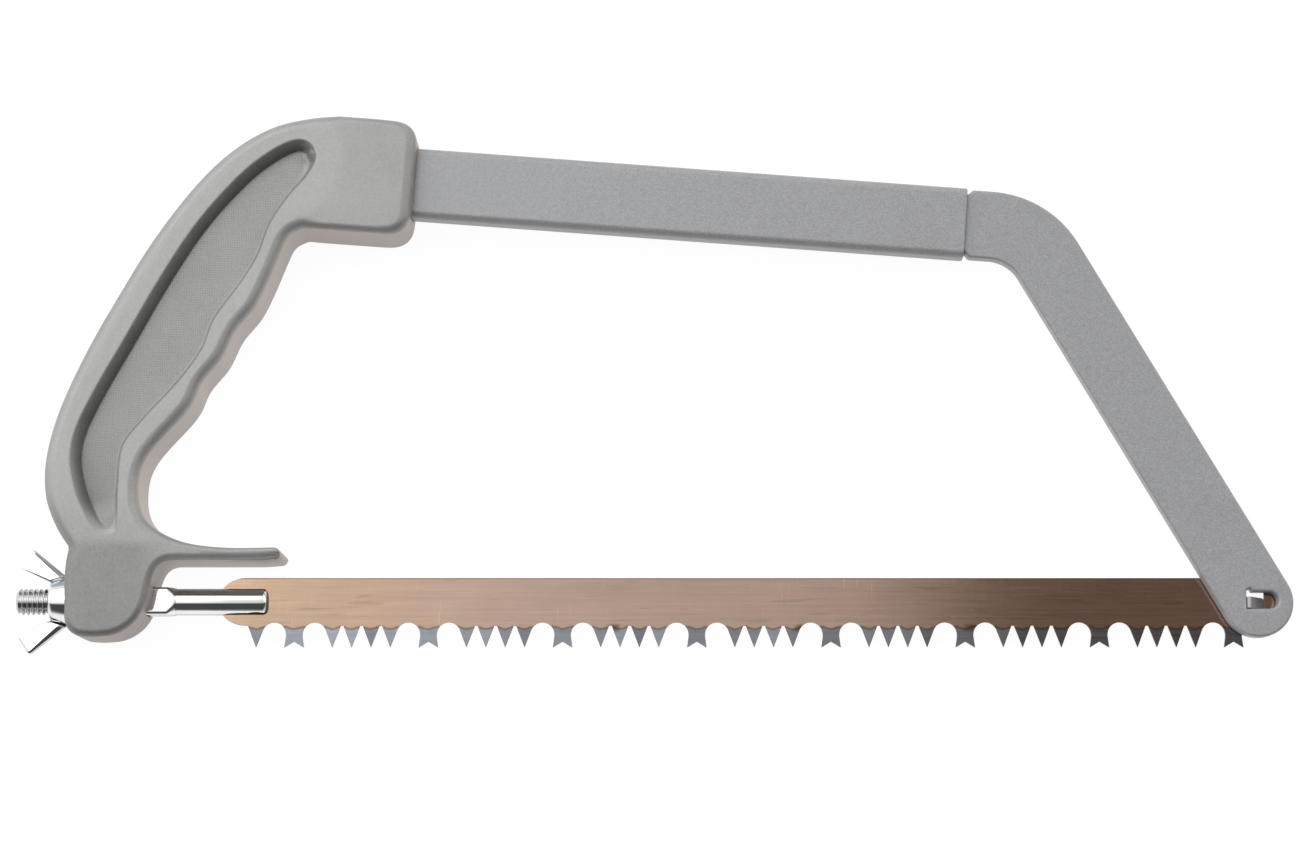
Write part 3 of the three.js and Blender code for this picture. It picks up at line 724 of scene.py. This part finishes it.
class HandleForm:
    """Height and lean of the handle's front face over its outline. The back is its mirror image."""

    def __init__(self, looks):
        self.looks = looks
        low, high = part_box("handle")
        self.top, self.middle = high.z, (low.z + high.z) / 2
        under_panel, step = low.z + 4.5 * MM, 0.85 * MM
        self.outline = resampled(eased(section("handle", under_panel)[0], 0.8 * MM), step)
        self.panel = curve_through(np.array(PANEL_WALL + PANEL_RUN) * MM, CURVE_STEPS)
        foot = CURVE_STEPS * (len(PANEL_WALL) - 1)
        self.wall = self.panel[:foot + 1]
        self.run = self.panel[foot + CURVE_STEPS:]
        x, y = self.outline.T / MM
        under = self.outline[(x > GUARD_ROOT[0]) & (y < GUARD_NOSE)]
        self.under = under[np.argsort(under[:, 0])]

    def under_guard(self, points):
        """Radius along the guard's lower edge near each point, and whether that edge rounds the point."""
        looks = self.looks
        x, y = points.T / MM
        radius = looks.edge_round + (looks.tip_round - looks.edge_round) * eased_rise(x, *GUARD_TIP)
        return radius, y < GUARD_EDGES[0] + radius / MM

    def edge(self, points):
        """Distance of each point from the edge that rounds it, negative outside the outline."""
        gap = gap_to(points, self.outline)
        below = self.under_guard(points)[1] & (points[:, 0] > GUARD_ROOT[0] * MM) & (gap > 0)
        return np.where(below, distance_to(points, self.under), gap)

    def round(self, points):
        """Radius of the edge near each point: larger at the grip, the nose's end and under the guard."""
        looks = self.looks
        x, y = points.T / MM
        grip = eased_rise(-gap_to(points, self.panel) / MM, *GRIP_REACH)
        soft = np.maximum(grip, eased_rise(x, *NOSE_END))
        radius = looks.edge_round + (looks.grip_round - looks.edge_round) * soft
        under, below = self.under_guard(points)
        over = (GUARD_EDGES[1] - GUARD_EDGES[0] - 0.1) * MM - under
        on_guard = radius + (np.where(below, under, over) - radius) * eased_rise(x, *GUARD_ROOT)
        return np.where(y < GUARD_TOP, on_guard, radius)

    def height(self, points):
        """Height of the front face: rounded at the edge, sunk at the panel."""
        looks = self.looks
        radius = self.round(points)
        lean = 1 - np.clip(self.edge(points), 0, radius) / radius
        drop = radius * (1 - np.sqrt(np.clip(1 - lean * lean, 0, 1)))
        past_cove = np.maximum(distance_to(points, self.wall) - looks.cove_width, 0)
        to_run = distance_to(points, self.run)
        across = self.opened(points) * to_run / (to_run + past_cove + 1e-9)
        floor = looks.panel_step + (looks.panel_depth - looks.panel_step) * across
        width = looks.cove_width * np.clip(floor / looks.panel_depth, 0.2, 1)
        into = np.clip((gap_to(points, self.panel) + 0.15 * width) / (1.15 * width), 0, 1)
        return self.top - drop - floor * into ** 1.5 * self.above_foot(points)

    def opened(self, points):
        """How far the panel has opened up, from 0 at the upper end of its wall to 1 near by."""
        return eased_rise(np.linalg.norm(points - self.wall[0], axis=1) / MM, *PANEL_END)

    def above_foot(self, points):
        """How far the panel is from running out at its foot, from 0 below it to 1 above."""
        return eased_rise(points[:, 1] / MM, *PANEL_FOOT)

    def lean(self, points):
        """Upward normals of the front face."""
        normals = np.column_stack([-slope(self.height, points, 0.02 * MM), np.ones(len(points))])
        return normals / np.linalg.norm(normals, axis=1)[:, None]

    def soil(self, points):
        """How much painted shade lies at each point: a thin dark line along the panel's run-out, and more
        down its cove, where shade falls.

        It is below 0 along the grip's rim, which it makes lighter.
        """
        gap = gap_to(points, self.panel)
        run = np.exp(-(distance_to(points, self.run) / (0.2 * MM)) ** 2) * (gap > -0.3 * MM)
        down = distance_to(points, self.wall) / self.looks.cove_width
        cove = (0.45 + 0.45 * np.clip(down, 0, 1)) * eased_rise(down, 1.25, 0.98) * (gap > 0)
        lighter_rim = eased_rise(-gap / MM, *LIGHTER_RIM_REACH) * (gap < 0)
        return (np.maximum(run, cove * self.opened(points)) - 0.14 * lighter_rim) * self.above_foot(points)

    def points(self):
        """Points of the face: rings along the edge and along the panel, and a net between them."""
        rings = [self.outline]
        radius = self.round(self.outline)
        edge_rings = 6
        for k in range(1, edge_rings + 1):
            inset = radius * (1 - math.cos(math.pi / 2 * k / edge_rings))
            ring = self.outline - outward(self.outline) * inset[:, None]
            rings.append(ring[self.edge(ring) > 0.96 * inset])
        panel = resampled(self.panel, 0.9 * MM)
        parts = (-0.3, -0.15, -0.03, 0.04, 0.1, 0.2, 0.35, 0.5, 0.68, 0.84, 0.94, 0.99, 1.01, 1.2)
        for inset in [part * self.looks.cove_width for part in parts]:
            ring = panel - outward(panel) * inset
            rings.append(ring[np.abs(gap_to(ring, panel) - inset) < 0.03 * MM])
        net, edge_room, rim_room, cove_room = 1.7 * MM, 0.6 * MM, 1.6 * MM, 3.8 * MM
        low, high = self.outline.min(axis=0), self.outline.max(axis=0)
        columns, rows = np.meshgrid(np.arange(low[0], high[0], net), np.arange(low[1], high[1], net))
        columns = columns + (np.arange(len(columns)) % 2)[:, None] * net / 2
        grid = np.stack([columns.ravel(), rows.ravel()], axis=1)
        clear = gap_to(grid, self.outline) > self.round(grid) + edge_room
        beside = gap_to(grid, panel)
        clear &= (beside < -rim_room) | (beside > cove_room)
        rings.append(grid[clear])
        return np.vstack(rings)

    def mesh(self):
        """The closed skin: the front face, its mirror image behind, and a wall along the outline."""
        points = self.points()
        count = len(self.outline)
        edges = [(i, (i + 1) % count) for i in range(count)]
        flat = [Vector(point) for point in points / MM]
        found, _, faces, origins, _, _ = geometry.delaunay_2d_cdt(flat, edges, [], 1, 1e-6)
        points = np.array(found) * MM
        order = {origins[i][0]: i for i in range(len(found)) if origins[i] and origins[i][0] < count}
        heights = self.height(points)
        front = np.column_stack([points, heights])
        back = np.column_stack([points, 2 * self.middle - heights])
        size = len(points)
        all_faces = [list(face) for face in faces]
        all_faces += [[corner + size for corner in reversed(face)] for face in faces]
        for i in range(count):
            here, there = order[i], order[(i + 1) % count]
            all_faces.append([here + size, there + size, there, here])
        return piece("cast_handle", np.vstack([front, back]), all_faces)


def shade_handle(made, form):
    """Sets the normals and the painted shade of the handle's skin from its form. Walls cut into it stay flat.
    """
    mesh = made.data
    places = np.empty(len(mesh.vertices) * 3)
    mesh.vertices.foreach_get("co", places)
    places = places.reshape(-1, 3)
    flat = places[:, :2]
    leans = form.lean(flat)
    edge = form.edge(flat)
    inward = slope(form.edge, flat, 0.05 * MM)
    inward /= np.maximum(np.linalg.norm(inward, axis=1), 1e-12)[:, None]
    radius = form.round(flat)
    lean = np.clip(1 - edge / radius, 0, 1)
    rounded = edge < radius
    leans[rounded] = np.column_stack([-inward * lean[:, None], np.sqrt(1 - lean * lean)])[rounded]
    leans[places[:, 2] < form.middle, 2] *= -1
    corners = []
    for polygon in mesh.polygons:
        own = np.array(polygon.normal)
        for vertex in polygon.vertices:
            normal = leans[vertex]
            corners.append(normal if np.dot(normal, own) > 0.35 else own)
    mesh.normals_split_custom_set(corners)
    mesh.attributes.new(SHADE_ATTRIBUTE, "FLOAT", "POINT").data.foreach_set("value", form.soil(flat))


class BOWSAW_OT_handle(bpy.types.Operator):
    """Makes the cast handle with its rounded edges, sunk panels, tube socket and square bore"""
    bl_idname = "bowsaw.handle"
    bl_label = "Cast handle"

    def execute(self, context):
        looks = context.scene.bowsaw_handle
        form = HandleForm(looks)
        made = form.mesh()
        tube_low, tube_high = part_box("frame_tube")
        axis, long, high = tube_measures()
        room = 0.12 * MM
        middle = (tube_low + tube_high) / 2
        deep = (long / 2 + room, high / 2 + room, (tube_high.z - tube_low.z) / 2 + room)
        carve(made, middle - Vector(deep), middle + Vector(deep), axis)
        bar_low, bar_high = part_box("drawbar")
        half = (bar_high.z - bar_low.z) / 2 + room
        past = 20 * MM
        carve(made, (bar_low.x - past, -half, bar_low.z - room), (bar_high.x + past, half, bar_high.z + room))
        shade_handle(made, form)
        dress(made, cast_skin(looks), "handle", "handle")
        return {"FINISHED"}


# The tube and the front arm

def tube_measures():
    """Direction, length and height of the frame tube, from its slide and its box."""
    axis = next(joint["axis"] for joint in frame["joints"] if joint["name"] == "tube_slide")
    axis = Vector(axis).normalized()
    low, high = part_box("frame_tube")
    wide, tall = high.x - low.x, high.y - low.y
    cosine, sine = abs(axis.x), abs(axis.y)
    spread = cosine * cosine - sine * sine
    return axis, (wide * cosine - tall * sine) / spread, (tall * cosine - wide * sine) / spread


def rounded_section(half_high, half_thick, corner, steps=6):
    """Points round a rectangle with round corners, as height and depth."""
    points = []
    for quarter, (side_high, side_thick) in enumerate(((1, 1), (-1, 1), (-1, -1), (1, -1))):
        for k in range(steps + 1):
            angle = math.pi / 2 * (quarter + k / steps)
            points.append((side_high * (half_high - corner) + corner * math.cos(angle),
                           side_thick * (half_thick - corner) + corner * math.sin(angle)))
    return points


class BOWSAW_OT_tube(bpy.types.Operator):
    """Makes the frame tube with its round corners, open bore and soft lips"""
    bl_idname = "bowsaw.tube"
    bl_label = "Frame tube"

    def execute(self, context):
        looks = context.scene.bowsaw_frame
        axis, long, high = tube_measures()
        low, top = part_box("frame_tube")
        middle = (low + top) / 2
        up = Vector((0, 0, 1)).cross(axis)
        half_high, half_thick = high / 2, (top.z - low.z) / 2
        wall, lip = 1.2 * MM, looks.lip_round
        corner_round, least_round = 2.0 * MM, 0.5 * MM

        def ring(along, inset):
            corner = max(corner_round - inset, least_round)
            shape = rounded_section(half_high - inset, half_thick - inset, corner)
            return [middle + axis * along + up * h + Vector((0, 0, t)) for h, t in shape]

        end = long / 2
        lips = [(end, lip), (end - 0.3 * lip, 0.3 * lip), (end - lip, 0)]
        bore = [(end, wall - lip), (end - lip, wall), (lip - end, wall), (-end, wall - lip)]
        steps = [(-along, inset) for along, inset in lips] + lips[::-1] + bore
        rings = [ring(along, inset) for along, inset in steps]
        made = keep_flat(joined("painted_tube", skin(rings, closed=True)))
        dress(made, metallic_paint(looks), "tube", "frame_tube")
        return {"FINISHED"}


class BOWSAW_OT_arm(bpy.types.Operator):
    """Makes the front arm with its tongue, elbow and window, and dresses the blade hook in it"""
    bl_idname = "bowsaw.arm"
    bl_label = "Front arm and hook"

    def execute(self, context):
        looks = context.scene.bowsaw_frame
        low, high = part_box("front_arm")
        rings = [eased(ring, 0.8 * MM) for ring in section("front_arm", (low.z + high.z) / 2)]
        made = keep_flat(plate("painted_arm", rings, low.z, high.z, looks.arm_round))
        paint = bpy.data.materials.get("metallic_paint") or metallic_paint(looks)
        dress(made, paint, "arm", "front_arm")
        soften("blade_hook", 0.2 * MM, bare_steel(context.scene.bowsaw_hardware))
        return {"FINISHED"}


def soften(node, width, material):
    """Rounds the sharp edges of one of the frame's nodes with a bevel, and gives it a material."""
    made = frame["nodes"][node]
    weld = made.modifiers.new("weld", "WELD")
    weld.merge_threshold = 1e-6
    bevel = made.modifiers.new("soft edges", "BEVEL")
    bevel.width = width
    bevel.segments = 3
    bevel.limit_method = "ANGLE"
    bevel.angle_limit = math.radians(35)
    bevel.harden_normals = True
    made.data.materials.clear()
    made.data.materials.append(material)


# The blade

class BOWSAW_OT_blade(bpy.types.Operator):
    """Makes the blade with its groups of cutters and rakers, ground below a line"""
    bl_idname = "bowsaw.blade"
    bl_label = "Saw blade"

    def execute(self, context):
        looks = context.scene.bowsaw_blade
        low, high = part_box("saw_blade")
        rings = section("saw_blade", (low.z + high.z) / 2)
        pin_low, pin_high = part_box("blade_pin")
        pin = (pin_low.x + pin_high.x) / 2
        past_pin = np.maximum(pin - rings[0][:, 0], 0)
        rings[0][:, 0] -= past_pin / (pin - low.x) * looks.end_reach
        rings = [eased(ring, 0.5 * MM) for ring in rings]
        made = plate("lacquered_blade", rings, low.z, high.z, edge=0.06 * MM, steps=2)
        dress(made, lacquered_steel(looks), "blade", "saw_blade")
        return {"FINISHED"}


# Drawbar, pin and wing nut

THREAD_STOP = -8.5 * MM
NO_THREAD = -1.0


class BOWSAW_OT_hardware(bpy.types.Operator):
    """Makes the drawbar with its thread, square shank and slotted rod, and the pin and wing nut"""
    bl_idname = "bowsaw.hardware"
    bl_label = "Drawbar, pin and wing nut"

    def execute(self, context):
        looks = context.scene.bowsaw_hardware
        plating = bright_plate(looks, "bright_bar", THREAD_STOP)
        dress(self.drawbar(looks), plating, "drawbar", "drawbar")
        # The nut gets a painted reflection tint on its side that faces the tube
        nut_plating = bright_plate(looks, "bright_nut", NO_THREAD, crown=1.0)
        dress(self.wing_nut(looks), nut_plating, "nut", "wing_nut")
        soften("blade_pin", 0.15 * MM, plating)
        return {"FINISHED"}

    def wing_nut(self, looks):
        """A turned hub with two swept wings. Each has a broad flank towards the seat, one of them steeper."""
        low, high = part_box("wing_nut")
        drawbar_low, drawbar_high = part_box("drawbar")
        height = (drawbar_low.z + drawbar_high.z) / 2
        seat, top, bore = high.x, high.x - 5.5 * MM, 3.95 * MM
        profile = [(seat, 6.1), (seat - 0.2 * MM, 6.4), (seat - 0.6 * MM, 6.5), (top + 1.2 * MM, 5.75),
                   (top + 0.5 * MM, 5.5), (top + 0.1 * MM, 5.1), (top, 4.7)]
        rings = [(x, radius * MM) for x, radius in profile] + [(top, bore), (seat, bore)]
        hub = skin([[Vector((x, -r * math.cos(a), height + r * math.sin(a))) for a in circle(48)]
                    for x, r in rings], closed=True)
        reach = high.y
        ends = [Vector((top + 0.3 * MM, 5.2 * MM)), Vector((low.x - 0.3 * MM, reach - 5.0 * MM)),
                Vector((seat - 0.3 * MM, 6.1 * MM)), Vector((top - 5.5 * MM, reach + 0.3 * MM))]
        falls = {1: 0.27, -1: 0.35}
        wings = [skin(self.wing(looks, ends, side, height, fall)) for side, fall in falls.items()]
        return keep_flat(joined("plated_nut", hub, *wings))

    def wing(self, looks, ends, side, height, fall):
        """Rings across a wing, from its root to its round tip. fall is the slope of its flank."""
        thin_root, thin_tip, flank_root, flank_tip = ends
        long = ((thin_tip + flank_tip) / 2 - (thin_root + flank_root) / 2).length
        corner = looks.wing_corner
        rings = []
        for s in (0.0, 0.15, 0.3, 0.45, 0.6, 0.75, 0.86, 0.92, 0.96, 0.985, 0.998):
            left = thin_root.lerp(thin_tip, s)
            right = flank_root.lerp(flank_tip, s)
            across = (right - left).normalized()
            past = max(0.0, 1 - (1 - s) * long / corner)
            tuck = corner * (1 - math.sqrt(1 - past * past))
            half = looks.wing_thickness / 2 * (1.3 - 0.3 * s) * math.sqrt(1 - 0.25 * past * past)
            wide = (right - left).length - 2 * tuck
            flank = min(wide * 0.55, looks.wing_flank * (1.3 - 0.8 * s))
            wedge = [(0.0, 0.0), (0.05, 0.75), (0.15, 0.9), (0.5, 1.0)]
            upper = [(tuck + u * MM * (2.2 - 1.8 * s), z * half) for u, z in wedge]
            upper += [(tuck + wide - flank * (1 - t), half - fall * flank * t)
                      for t in (0, 0.12, 0.25, 0.5, 0.75, 1)]
            upper.append((tuck + wide + 0.15 * MM, 0.0))
            lower = [(u, -z) for u, z in reversed(upper[1:-1])]
            ring = [(left + across * u, z) for u, z in upper + lower]
            rings.append([Vector((point.x, side * point.y, height + side * z)) for point, z in ring])
        return rings

    def drawbar(self, looks):
        """A bar with a thread, a square shank between two cones, and a slotted rod."""
        low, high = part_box("drawbar")
        height = (low.z + high.z) / 2
        angles = circle(64)
        crest, rod, square = 3.65 * MM, 3.7 * MM, 3.8 * MM
        corner = square * 1.36
        square_start, square_stop, taper = -6.5 * MM, 19.1 * MM, 2.6 * MM
        rings = []
        x = low.x
        while x < THREAD_STOP:
            tip = min(1.0, 0.78 + (x - low.x) / looks.thread_pitch * 0.4)
            runout = min(1.0, (THREAD_STOP - x) / looks.thread_pitch)
            ring = []
            for angle in angles:
                phase = (x / looks.thread_pitch + angle / (2 * math.pi)) % 1
                groove = 0.5 - 0.5 * math.cos(2 * math.pi * phase)
                ring.append(min(crest * tip, crest - looks.thread_depth * groove * runout))
            rings.append((x, ring))
            x += looks.thread_pitch / 12
        squared = [min(square / max(abs(math.cos(a)), abs(math.sin(a))), corner) for a in angles]
        for k in range(9):
            x = THREAD_STOP + (square_start - THREAD_STOP) * k / 8
            cone = crest + (corner - crest) * k / 8
            rings.append((x, [min(cone, side) for side in squared]))
        for k in range(1, 15):
            x = square_stop - taper + taper * k / 14
            cone = corner + (rod - corner) * k / 14
            rings.append((x, [min(cone, side) for side in squared]))
        end, chamfer = high.x + looks.rod_reach, looks.rod_chamfer
        for x, radius in ((square_stop + 0.2 * MM, rod), (end - chamfer - 0.1 * MM, rod),
                          (end - chamfer, rod - 0.02 * MM), (end - 0.4 * chamfer, rod - 0.35 * chamfer),
                          (end, rod - 0.8 * chamfer)):
            rings.append((x, [radius] * len(angles)))
        made = joined("plated_drawbar", skin([
            [Vector((x, r * math.cos(a), height + r * math.sin(a))) for r, a in zip(ring, angles)]
            for x, ring in rings]))
        blade_low, blade_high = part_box("saw_blade")
        room, swing_room, past = 0.3 * MM, 1.9 * MM, 20 * MM
        carve(made, (blade_low.x - swing_room, -past, blade_low.z - room),
              (end + past, past, blade_high.z + room))
        return made


# The studio

class BOWSAW_OT_studio(bpy.types.Operator):
    """Sets the pale floor, the soft light overhead and the camera"""
    bl_idname = "bowsaw.studio"
    bl_label = "Studio"

    def execute(self, context):
        looks = context.scene.bowsaw_studio
        context.scene.view_settings.view_transform = "Standard"
        self.floor(looks)
        self.light(context.scene)
        lens = bpy.data.cameras.new("camera")
        lens.lens = looks.focal_length
        lens.sensor_width = 36.0
        camera = bpy.data.objects.new("camera", lens)
        camera.location = looks.camera_place
        camera.rotation_euler = (looks.camera_tilt, 0, 0)
        context.scene.collection.objects.link(camera)
        context.scene.camera = camera
        return {"FINISHED"}

    def floor(self, looks):
        """A pale floor that shows almost white and still takes the saw's shadow."""
        low, high = cad_box
        middle = (low + high) / 2
        reach, drop = 6.0, low.z - looks.floor_drop
        corners = [(middle.x + reach * math.cos(angle), middle.y + reach * math.sin(angle), drop)
                   for angle in circle(24)]
        made = piece("floor", corners, [range(len(corners))])
        shader = Surface("pale_floor")
        rays = ("Is Camera Ray", "Is Glossy Ray", "Is Transmission Ray")
        seen, mirrored, passed = [shader.node("LightPath", output=ray) for ray in rays]
        shown = (seen + mirrored + passed).math("MINIMUM", 1.0)
        tint = shader.mix(seen, looks.glow_colour, (1.0, 1.0, 1.0))
        white = shader.node("Emission", None, {"Color": tint, "Strength": 1.1 - seen * 0.04})
        lit = Value(shader, shader.main.outputs[0])
        both = shader.node("MixShader", None, {0: shown * 0.9, 1: lit, 2: white})
        shader.feed(shader.tree.nodes["Material Output"].inputs["Surface"], both)
        made.data.materials.append(shader.finished({
            "Base Color": (*looks.floor_colour, 1.0),
            "Roughness": 0.9,
            "Specular IOR Level": 0.1,
        }))

    def light(self, scene):
        """Soft sky: bright overhead and towards the tube, dark and warm towards the teeth and the right."""
        world = bpy.data.worlds.new("studio")
        world.use_nodes = True
        scene.world = world
        shader = Shader(world.node_tree)
        x, y, z = shader.parts(shader.node("TexCoord", output="Generated"))
        rise = z.math("MAXIMUM", 0.04)
        side = y / rise
        right = x / rise
        overhead = side.smooth(-0.4, -0.12) * (1 - side.smooth(2.4, 3.6))
        overhead = overhead * (0.86 + side.smooth(-0.1, 0.6) * 0.66)
        dark = right.smooth(0.068, 0.106) * (1 - right.smooth(0.2, 0.34))
        fade = 1.26 - right.smooth(-0.11, 0.01) * 0.38 - dark * 0.73
        low_glow = 1 - z.smooth(0.05, 0.36)
        left_glow = 1 - right.smooth(-2.4, -0.9)
        strength = overhead * fade + 0.07 + low_glow * 0.35 + left_glow * (1 - overhead) * 0.6
        seen = shader.node("LightPath", output="Is Camera Ray")
        main = shader.tree.nodes["Background"]
        shader.feed(main.inputs["Strength"], strength * (1 - seen) + seen)
        warm = dark * (1 - side.smooth(0.2, 0.35)) * (1 - seen)
        shader.feed(main.inputs["Color"], shader.mix(warm, (1.0, 1.0, 1.0), (1.0, 0.82, 0.7)))
        box = bpy.data.lights.new("softbox", "AREA")
        box.shape = "RECTANGLE"
        box.size = 0.9
        box.size_y = 0.7
        box.energy = 2.5
        lamp = bpy.data.objects.new("softbox", box)
        lamp.location = (-0.35, 0.45, 1.25)
        aim = Vector((0.15, 0.06, 0.0)) - lamp.location
        lamp.rotation_euler = aim.to_track_quat("-Z", "Y").to_euler()
        scene.collection.objects.link(lamp)


class BOWSAW_PT_panel(bpy.types.Panel):
    """Lists the pieces of the saw and their looks"""
    bl_label = "Bow saw"
    bl_space_type = "VIEW_3D"
    bl_region_type = "UI"
    bl_category = "Bow saw"

    def draw(self, context):
        for operator, group in STEPS:
            box = self.layout.box()
            box.operator(operator.bl_idname)
            looks = getattr(context.scene, group)
            for name in looks.bl_rna.properties.keys():
                if name not in ("rna_type", "name"):
                    box.prop(looks, name)


STEPS = [
    (BOWSAW_OT_studio, "bowsaw_studio"),
    (BOWSAW_OT_handle, "bowsaw_handle"),
    (BOWSAW_OT_tube, "bowsaw_frame"),
    (BOWSAW_OT_arm, "bowsaw_frame"),
    (BOWSAW_OT_blade, "bowsaw_blade"),
    (BOWSAW_OT_hardware, "bowsaw_hardware"),
]
GROUPS = {
    "bowsaw_handle": HandleLooks,
    "bowsaw_frame": FrameLooks,
    "bowsaw_blade": BladeLooks,
    "bowsaw_hardware": HardwareLooks,
    "bowsaw_studio": StudioLooks,
}


def register():
    """Registers the looks, the operators and the panel."""
    for name, group in GROUPS.items():
        bpy.utils.register_class(group)
        setattr(bpy.types.Scene, name, PointerProperty(type=group))
    for operator, _ in STEPS:
        bpy.utils.register_class(operator)
    bpy.utils.register_class(BOWSAW_PT_panel)


def unregister():
    """Takes back what register added."""
    bpy.utils.unregister_class(BOWSAW_PT_panel)
    for operator, _ in reversed(STEPS):
        bpy.utils.unregister_class(operator)
    for name, group in GROUPS.items():
        delattr(bpy.types.Scene, name)
        bpy.utils.unregister_class(group)


def main():
    """Builds the whole scene."""
    register()
    for operator, _ in STEPS:
        family, name = operator.bl_idname.split(".")
        getattr(getattr(bpy.ops, family), name)()
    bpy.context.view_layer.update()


if __name__ == "__main__":
    main()
